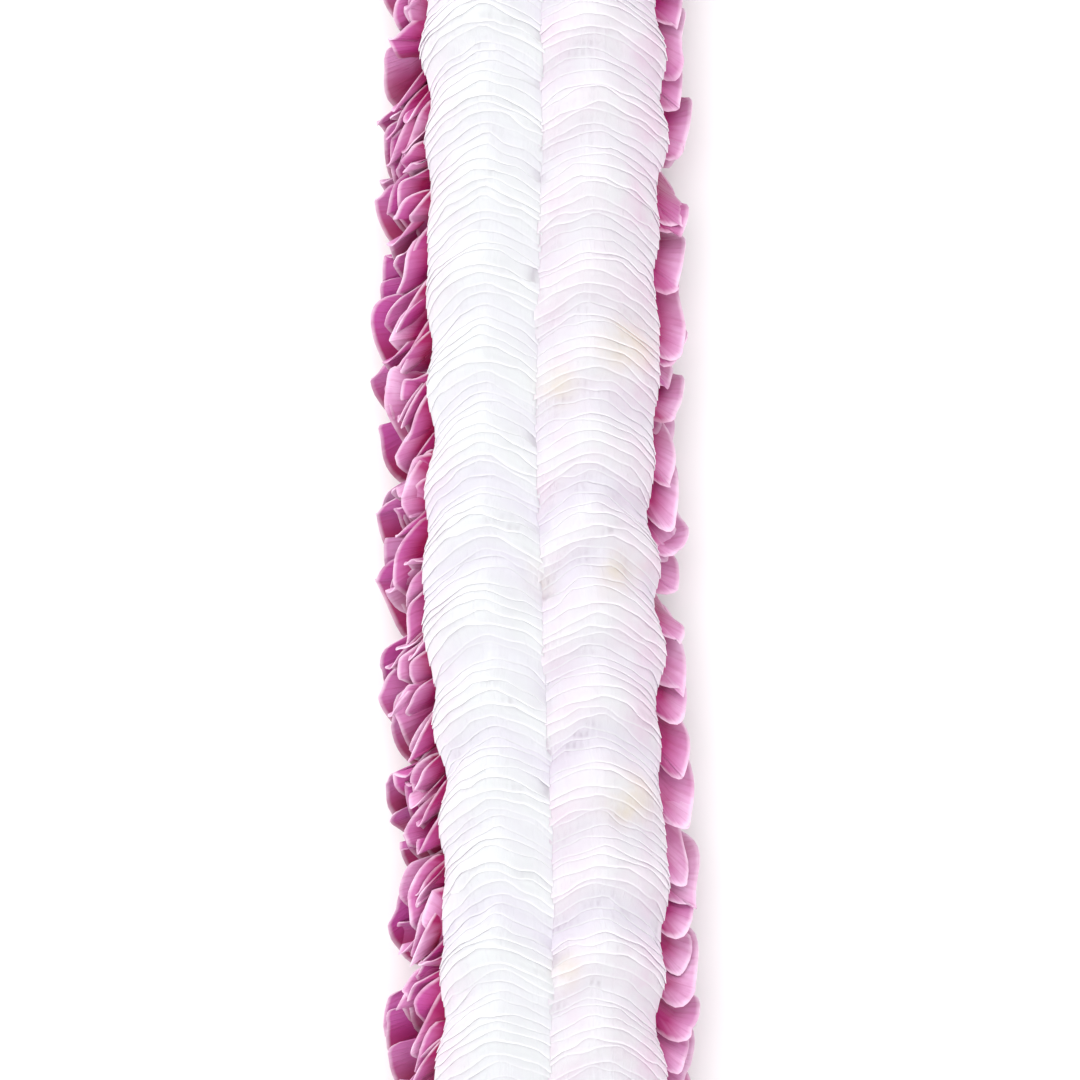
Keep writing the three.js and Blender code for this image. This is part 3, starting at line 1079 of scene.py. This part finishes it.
@dataclass
class MagentaPetals:
    """The sides and the underside of the lei: cupped magenta petals in tiers."""

    line: LoopLine
    thickness: float = 0.36
    root_out: float = 2.2
    root_low: float = 9.6
    root_high: float = 12.6
    tip_waves: float = 0.9
    fold: float = 2.3
    # A petal comes free of its neighbours between these reaches
    blade: tuple[float, float] = (8.0, 22.0)
    # No petal goes lower than this
    lowest: float = 0.6
    # The share of petals that are much paler than the rest, and how pale they are
    pale_share: float = 0.12
    pale_strength: float = 2.4
    seed: int = 23

    def __post_init__(self) -> None:
        """Works out the nets and the length of a run."""
        self.net = PetalNet(((0.0, 5), (0.34, 9), (0.6, 17), (0.82, 33), (1.0, 33)))
        self.under_net = PetalNet(((0.0, 5), (0.4, 11), (0.75, 21), (1.0, 29)))
        self.run_length = self.line.girth / RUNS

    def stations(self, run: int, count: int, offset: float) -> Array:
        """Where the petals of one group would be sewn on if they were evenly spaced.

        Args:
            run: the run's number.
            count: the petals of the group.
            offset: how far the first one is from the run's start, as a share of their spacing.

        Returns:
            The distances along the thread, as a column.
        """
        return ((run + (np.arange(count) + offset) / count) * self.run_length)[:, None]

    def rim(self, tier: SideTier) -> tuple[Array, Array]:
        """The free rim of a tier's petals, from the lower side round the tip to the upper side.

        Args:
            tier: the tier.

        Returns:
            The share of the rim at each point, and the points as out and height.
        """
        reach, top, low, corner = tier.reach, tier.top, tier.low, tier.corner
        tall = top - low
        knots = np.array(
            [
                (self.root_out + 0.4, self.root_low),
                (10.0, 0.5 * (self.root_low + low)),
                ((0.66 - 0.08 * corner) * reach, low + 0.3),
                ((0.85 - 0.13 * corner) * reach, low + 0.14 * tall),
                ((0.96 - 0.15 * corner) * reach, low + 0.36 * tall),
                ((1.0 - 0.1 * corner) * reach, low + 0.6 * tall),
                ((0.99 - 0.02 * corner) * reach, low + 0.82 * tall),
                ((0.96 + 0.04 * corner) * reach, top - 0.06 * tall),
                (0.93 * reach, top),
                (0.79 * reach, top - 0.06 * tall),
                (0.65 * reach, min(15.2, top - 0.1 * tall)),
                (9.0, 13.6),
                (self.root_out + 0.4, self.root_high),
            ]
        )
        curve = smooth_curve(knots)
        steps = np.diff(curve, axis=0)
        heading = np.unwrap(np.arctan2(steps[:, 1], steps[:, 0]))
        # The net's points lie closer where the rim turns, and wider where no one sees it
        turning = 9.0 * np.abs(np.gradient(heading))
        steps = np.linalg.norm(steps, axis=1) + np.convolve(turning, np.full(15, 1 / 15), "same")
        weights = np.where(curve[1:, 0] < 15.0, 0.15, 1.0)
        share = np.concatenate([[0], np.cumsum(steps * weights)])
        return share / share[-1], curve

    def build(self, finish: bpy.types.Material) -> None:
        """Builds and dresses every run of magenta petals.

        Args:
            finish: the magenta petals' material.
        """
        for run in range(RUNS):
            fans = [(self.net, SideFan(self, run, kind)) for kind in Tier]
            fans.append((self.under_net, UnderFan(self, run)))
            shapes = []
            for net, fan in fans:
                marks = fan.marks(net.across, net.reach)
                shapes.append(Shape.from_sheets(net, fan.surface, self.thickness, marks))
            number = f"{run + 1:02d}"
            whole = Shape.joined(shapes)
            whole.to_piece(f"magenta_fans_{number}", f"magenta_petals_{number}", Slot.MAGENTA, finish)


class SideFan:
    """The petals of one tier in one run."""

    def __init__(self, petals: MagentaPetals, run: int, kind: Tier) -> None:
        """Draws what each petal has of its own.

        Args:
            petals: what all magenta petals share.
            run: the run's number.
            kind: the tier.
        """
        self.petals = petals
        self.tier = tier = kind.value
        self.number = list(Tier).index(kind)
        self.tone = (Side.OUTER if tier.side > 0 else Side.INNER).value
        self.share, self.curve = petals.rim(tier)
        chance = Chance(petals.seed + 100 * run + self.number, tier.per_run)
        self.station = petals.stations(run, tier.per_run, tier.offset)
        self.station = self.station + chance.between(-self.tone.loose, self.tone.loose)
        self.white_edge = Band.beside(tier.side).shift(self.station, petals.line.girth)
        self.follow = tier.corner * 0.5 * self.white_edge
        self.stretch = chance.between(-1.5, 1.2)
        self.lift = chance.between(-1.2, 0.8)
        self.twist = chance.between(-0.28, 0.28)
        self.sweep = tier.sweep * chance.between(0.65, 1.4)
        self.fold = chance.between(-1.0, 1.0)
        self.cup = tier.cup * chance.between(0.6, 1.35)
        self.phase = chance.between(0.0, 60.0)
        light = chance.between(0.25, 1.3)
        paler = chance.between(0.0, 1.0) < petals.pale_share
        self.light = np.where(paler, petals.pale_strength, light)

    def _ends(self, t: Array) -> tuple[Array, Array, Array]:
        """The usual rim's out and height and the root's height, at places across."""
        low, high = self.petals.root_low, self.petals.root_high
        rim_out, rim_height = (np.interp(t, self.share, self.curve[:, n]) for n in range(2))
        return rim_out, rim_height, low + (high - low) * t

    def surface(self, t: Array, r: Array) -> Array:
        """Gives the sheets' points.

        Args:
            t: places across.
            r: places from root to rim.

        Returns:
            The points in metres.
        """
        petals, tier = self.petals, self.tier
        wavy, bumpy = Ripple(petals.seed + 3 + self.number), Ripple(petals.seed + 40 + self.number)
        rim_out, rim_height, root_height = self._ends(t)
        tip = (rim_out / tier.reach) ** 3
        longer = self.follow + self.stretch + petals.tip_waves * wavy.at(t * 8.0, self.phase)
        rim_out = rim_out + longer * tip
        rim_height = rim_height + self.lift * tip
        rim_height = rim_height + petals.tip_waves * bumpy.at(t * 7.0, self.phase) * tip
        out = petals.root_out + (rim_out - petals.root_out) * r
        height = root_height + (rim_height - root_height) * r
        free_from, free_at = petals.blade
        blade = smooth_step(free_from, free_at, out)
        upper = smooth_step(0.45, 1.0, t)
        forward = -math.copysign(1.0, tier.lean)
        bend = (tier.lean + self.twist * blade) * (height - 0.5 * (petals.root_low + petals.root_high))
        bend = bend + self.sweep * (out - free_from) * (0.8 + 0.2 * blade)
        bend = bend - tier.hook * np.maximum(out - free_at, 0.0) ** 2
        bend = bend + petals.fold * self.fold * np.sin(2 * np.pi * t) * r**2 * blade
        bend = bend + forward * self.cup * np.sin(np.pi * r**1.4) * blade
        bend = bend - forward * tier.flare * r**7 * (0.4 + upper)
        bend = bend + tier.ruffle * wavy.at(t * 6.5, self.phase + 9.5) * r**2.5 * blade
        height = np.maximum(height, petals.lowest)
        return petals.line.place(self.station + bend, tier.side * out, height)

    def marks(self, t: Array, r: Array) -> dict[str, Array]:
        """What the finish needs to know of each point.

        Args:
            t: places across.
            r: places from root to rim.

        Returns:
            The marks by name.
        """
        petals, tier, tone = self.petals, self.tier, self.tone
        rim_out, rim_height, root_height = self._ends(t)
        cloud = Ripple(petals.seed + 60 + self.number).at(t * 4.0 + r * 2.0, self.phase)
        out = petals.root_out + (rim_out - petals.root_out) * r
        beyond = out + self.follow - WHITE_REACH - self.white_edge
        centre = 0.5 * (petals.root_low + petals.root_high)
        distance = (1.0 - r) * np.hypot(rim_out - petals.root_out, rim_height - centre)
        distance = distance * (0.25 + 0.75 * np.abs(np.sin(np.pi * t)))
        below = tier.top - root_height - (rim_height - root_height) * r
        # Painted shade, growing with the drop below the tier's top, where the neighbouring petals cover
        # this one
        shade = smooth_step(0.12 * tone.fall, tone.fall, below)
        # Painted crimson shade: beside the white petals, which overhang these, and below the tier's top
        deep = np.maximum(smooth_step(5.0, 0.0, beyond), 0.9 * shade) * (0.85 + 0.15 * cloud)
        # Painted highlight: lighter out of the painted shade near the upper rim and along the free rim
        highlight_near_rim = np.maximum(1.0 - shade, 0.5 * smooth_step(2.5, 0.2, distance))
        highlight_near_rim = tone.rim[0] + tone.rim[1] * highlight_near_rim
        light = tone.light[0] + tone.light[1] * self.light
        # Painted highlight away from the white petals' overhang, times each petal's own lightness
        away = smooth_step(tone.highlight_from, tone.highlight_from + tone.highlight_over, beyond)
        pale = tier.pale * light * highlight_near_rim * away * (0.8 + 0.4 * cloud)
        return {
            "rim_distance": distance,
            "deep": np.clip(tone.deep * deep, 0.0, 1.0),
            "pale": np.clip(pale, 0.0, 1.0),
            "mauve": np.clip(tier.mauve + 0.2 * cloud, 0.0, 1.0),
        }


class UnderFan:
    """The petals under the thread in one run, pressed flat where they meet the surface.

    They drop from their roots to the height where they land, in millimetres.
    """

    COUNT = 6
    DROP = 8.2
    LAND = 0.45

    def __init__(self, petals: MagentaPetals, run: int) -> None:
        """Draws what each petal has of its own.

        Args:
            petals: what all magenta petals share.
            run: the run's number.
        """
        self.line = petals.line
        chance = Chance(petals.seed + 100 * run + 77, self.COUNT)
        self.station = petals.stations(run, self.COUNT, 0.5) + chance.between(-0.8, 0.8)
        self.width = chance.between(10.5, 12.8)
        self.length = chance.between(13.2, 15.6)
        self.side_shift = chance.between(-1.8, 1.8)
        self.phase = chance.between(0.0, 60.0)
        self.wavy = Ripple(petals.seed + 81)

    def surface(self, t: Array, r: Array) -> Array:
        """Gives the sheets' points.

        Args:
            t: places across.
            r: places from root to rim.

        Returns:
            The points in metres.
        """
        angle = np.pi * (t - 0.5)
        uneven = 1.0 + 0.07 * self.wavy.at(t * 7.0, self.phase)
        out = np.sin(angle) * (1.2 + (self.width - 1.2) * r) * uneven + self.side_shift * r
        down = (0.35 + 0.65 * np.cos(angle)) * self.length * r * uneven
        share = np.clip(down / (self.DROP + 2.5), 0.0, 1.0)
        bend = np.maximum(down - self.DROP, 0.0) + 1.6 * share**2
        height = self.LAND + self.DROP * (1 - np.sin(share * np.pi / 2))
        lifted = 0.5 + 0.5 * self.wavy.at(t * 9.0, self.phase + 4.0)
        height = height + lifted * 0.5 * r**2 * (1 - share)
        return self.line.place(self.station + bend, out, height)

    def marks(self, t: Array, r: Array) -> dict[str, Array]:
        """What the finish needs to know of each point.

        Args:
            t: places across.
            r: places from root to rim.

        Returns:
            The marks by name.
        """
        cloud = self.wavy.at(t * 4.0 + r, self.phase + 20.0)
        return {
            "rim_distance": (1.0 - r) * 13.0,
            # Painted shade: crimson toward each petal's root, under the thread
            "deep": np.clip(0.75 - 0.75 * r + 0.15 * cloud, 0.0, 1.0),
            "pale": np.clip(0.2 + 0.3 * cloud * r, 0.0, 1.0),
            "mauve": np.clip(0.5 + 0.3 * cloud, 0.0, 1.0),
        }


@dataclass
class Thread:
    """The cotton thread: two plies twisted together, as a tube round a line."""

    radius: float = 0.6
    ply_depth: float = 0.16
    sides: int = 10
    lay: float = 2.6

    def tube(self, middle: Array, name: str) -> Shape:
        """Winds the tube round a line of points.

        Args:
            middle: the line's points in millimetres, one row each.
            name: what the tube is for, in messages.

        Returns:
            The tube.
        """
        tangent = np.gradient(middle, axis=0)
        tangent /= np.linalg.norm(tangent, axis=1, keepdims=True)
        side = np.cross(tangent, [0.0, 0.0, 1.0])
        weak = np.linalg.norm(side, axis=1) < 0.2
        side[weak] = np.cross(tangent[weak], [1.0, 0.0, 0.0])
        side /= np.linalg.norm(side, axis=1, keepdims=True)
        up = np.cross(side, tangent)
        gone = np.concatenate([[0], np.cumsum(np.linalg.norm(np.diff(middle, axis=0), axis=1))])
        turn = 2 * np.pi * np.arange(self.sides) / self.sides
        angle = turn[None, :] + np.pi * gone[:, None] / self.lay
        radius = self.radius - self.ply_depth * (1 - np.cos(2 * turn))[None, :] * 0.5
        ring = radius[..., None] * (
            np.cos(angle)[..., None] * side[:, None, :] + np.sin(angle)[..., None] * up[:, None, :]
        )
        points = (middle[:, None, :] + ring).reshape(-1, 3) * METRES_PER_MM
        rows = len(middle)
        row = self.sides * np.arange(rows - 1)[:, None]
        here = np.arange(self.sides)[None, :]
        after = (here + 1) % self.sides
        beyond = row + self.sides
        quads = np.stack([row + here, row + after, beyond + after, beyond + here], axis=-1)
        first = np.arange(self.sides)[::-1]
        last = (rows - 1) * self.sides + np.arange(self.sides)
        corners = np.concatenate([quads.reshape(-1), first, last])
        sizes = np.concatenate([np.full((rows - 1) * self.sides, 4), [self.sides, self.sides]])
        marks = {
            "petal_across": np.tile(np.arange(self.sides) / self.sides, rows),
            "petal_reach": np.repeat(gone / self.lay, self.sides),
        }
        log.info("%s winds %.0f mm of thread", name, gone[-1])
        return Shape(points, corners, sizes, marks)


@dataclass
class ThreadLoop:
    """The thread that all petals are sewn on."""

    line: LoopLine
    thread: Thread
    height: float = 14.7
    end: float = 2.95
    step: float = 0.62

    def cad_corner(self, steps: int = 58, sides: int = 6) -> tuple[float, float]:
        """The lowest corner in x and y of the loop in the part's source, before it is centred.

        Args:
            steps: the stretches of that loop.
            sides: the sides of that loop.

        Returns:
            The corner in millimetres.
        """
        along = np.linspace(self.end, self.line.girth - self.end, steps + 1)[:, None]
        out = self.thread.radius * np.cos(2 * np.pi * np.arange(sides) / sides)[None, :]
        points = self.line.place(along, out, np.array(0.0)) / METRES_PER_MM
        return float(points[..., 0].min()), float(points[..., 1].min())

    def settle_line(self) -> None:
        """Moves the loop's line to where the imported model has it."""
        low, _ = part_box("thread_loop")
        corner = self.cad_corner()
        self.line.shift = (low.x / METRES_PER_MM - corner[0], low.y / METRES_PER_MM - corner[1])
        log.info("the loop's line moves by %.2f and %.2f mm", *self.line.shift)

    def build(self, finish: bpy.types.Material) -> None:
        """Builds and dresses the loop.

        Args:
            finish: the thread's material.
        """
        count = int((self.line.girth - 2 * self.end) / self.step)
        along = np.linspace(self.end, self.line.girth - self.end, count)
        middle = self.line.place(along, np.array(0.0), np.array(self.height)) / METRES_PER_MM
        tube = self.thread.tube(middle, "the loop")
        tube.to_piece("sewing_thread", "thread_loop", Slot.THREAD, finish)


@dataclass
class ThreadKnot:
    """The knot that closes the loop, with its two cut ends."""

    line: LoopLine
    thread: Thread
    radius: float = 1.45
    height: float = 14.4
    tail_reach: float = 8.0
    tail_drop: float = 2.0
    tail_bend: float = 1.0
    winds: int = 110

    def _knot_line(self) -> Array:
        """The line of the knot, which winds twice round and three times through itself."""
        turn = np.linspace(0.0, 4 * np.pi, self.winds)
        wide = self.radius * (2 + np.cos(1.5 * turn)) * 0.5
        shape = np.stack(
            [wide * np.cos(turn), wide * np.sin(turn), 0.5 * self.radius * np.sin(1.5 * turn)], axis=1
        )
        centre = self.line.place(np.array(0.0), np.array(0.0), np.array(self.height)) / METRES_PER_MM
        return centre + shape

    def _tail_line(self, side: int) -> Array:
        """The line of one cut end.

        Args:
            side: 1 for the end that lies outside the loop and -1 for the one inside.

        Returns:
            The line's points.
        """
        along = np.array([0.0, -side * self.tail_bend, -side * self.tail_bend])
        out = side * np.array([1.2, 0.6 * self.tail_reach, self.tail_reach])
        height = self.height - self.tail_drop * np.array([0.0, 0.25, 1.0])
        return smooth_curve(self.line.place(along, out, height) / METRES_PER_MM, 12)

    def build(self, finish: bpy.types.Material) -> None:
        """Builds and dresses the knot with its ends.

        Args:
            finish: the thread's material.
        """
        tubes = [self.thread.tube(self._knot_line(), "the knot")]
        for side in (1, -1):
            tubes.append(self.thread.tube(self._tail_line(side), "a cut end"))
        Shape.joined(tubes).to_piece("tied_knot", "thread_knot", Slot.THREAD, finish)


@dataclass
class Studio:
    """The pale floor, the soft light and the camera over one side of the loop."""

    line: LoopLine
    view_width: float = 205.2
    view_height: float = 27.0
    distance: float = 1300.0
    groove_shift: float = -0.95
    sensor: float = 36.0
    surround: float = 1.27
    # The lamp and the floor are given in metres, and the lamp's power in watts
    lamp_size: float = 2.2
    lamp_power: float = 18.0
    lamp_place: tuple[float, float, float] = (-0.8, 0.9, 1.8)
    lamp_aim: tuple[float, float, float] = (-0.05, 0.0, 0.0)
    floor_half: float = 3.0

    def floor(self) -> None:
        """Lays the floor."""
        mesh = bpy.data.meshes.new("floor")
        half = self.floor_half
        corners = [(-half, -half, 0.0), (half, -half, 0.0), (half, half, 0.0), (-half, half, 0.0)]
        mesh.from_pydata(corners, [], [(0, 1, 2, 3)])
        floor = bpy.data.objects.new("floor", mesh)
        bpy.context.scene.collection.objects.link(floor)
        material = bpy.data.materials.new("floor_paper")
        material.use_nodes = True
        desk = NodeDesk(material.node_tree)
        white = {"Base Color": linear(255, 255, 255), "Roughness": 0.9, "Specular IOR Level": 0.1}
        desk.give(desk.tree.nodes["Principled BSDF"], white)
        mesh.materials.append(material)

    def light(self) -> None:
        """Sets an even white surround and a broad soft light above to the left."""
        world = bpy.data.worlds.new("white_surround")
        world.use_nodes = True
        desk = NodeDesk(world.node_tree)
        glow = {"Color": (1.0, 1.0, 1.0, 1.0), "Strength": self.surround}
        desk.give(desk.tree.nodes["Background"], glow)
        bpy.context.scene.world = world
        lamp = bpy.data.lights.new("soft_box", "AREA")
        lamp.shape = "SQUARE"
        lamp.size = self.lamp_size
        lamp.energy = self.lamp_power
        soft_box = bpy.data.objects.new("soft_box", lamp)
        soft_box.location = self.lamp_place
        aim = Vector(self.lamp_aim) - Vector(self.lamp_place)
        soft_box.rotation_euler = aim.to_track_quat("-Z", "Y").to_euler()
        bpy.context.scene.collection.objects.link(soft_box)
        bpy.context.scene.view_settings.view_transform = "Standard"

    def camera(self) -> None:
        """Sets the camera straight above the left side of the loop."""
        data = bpy.data.cameras.new("camera")
        data.sensor_width = self.sensor
        data.lens = self.sensor * self.distance / self.view_width
        data.clip_end = 20.0
        camera = bpy.data.objects.new("camera", data)
        x = -self.line.bend_radius + self.line.shift[0] + self.groove_shift
        y = self.line.shift[1]
        camera.location = Vector((x, y, self.view_height + self.distance)) * METRES_PER_MM
        bpy.context.scene.collection.objects.link(camera)
        bpy.context.scene.camera = camera


def main() -> None:
    """Builds and dresses the lei and sets up the studio."""
    logging.basicConfig(level=logging.INFO, format="%(name)s: %(message)s")
    line = LoopLine()
    thread = Thread()
    loop = ThreadLoop(line, thread)
    loop.settle_line()
    studio = Studio(line)
    studio.camera()
    studio.floor()
    studio.light()
    groups = ShaderGroups()
    cotton = CottonFinish().make(groups)
    loop.build(cotton)
    ThreadKnot(line, thread).build(cotton)
    MagentaPetals(line).build(MagentaPetalFinish().make(groups))
    WhitePetals(line).build(WhitePetalFinish().make(groups))


if __name__ == "__main__":
    main()
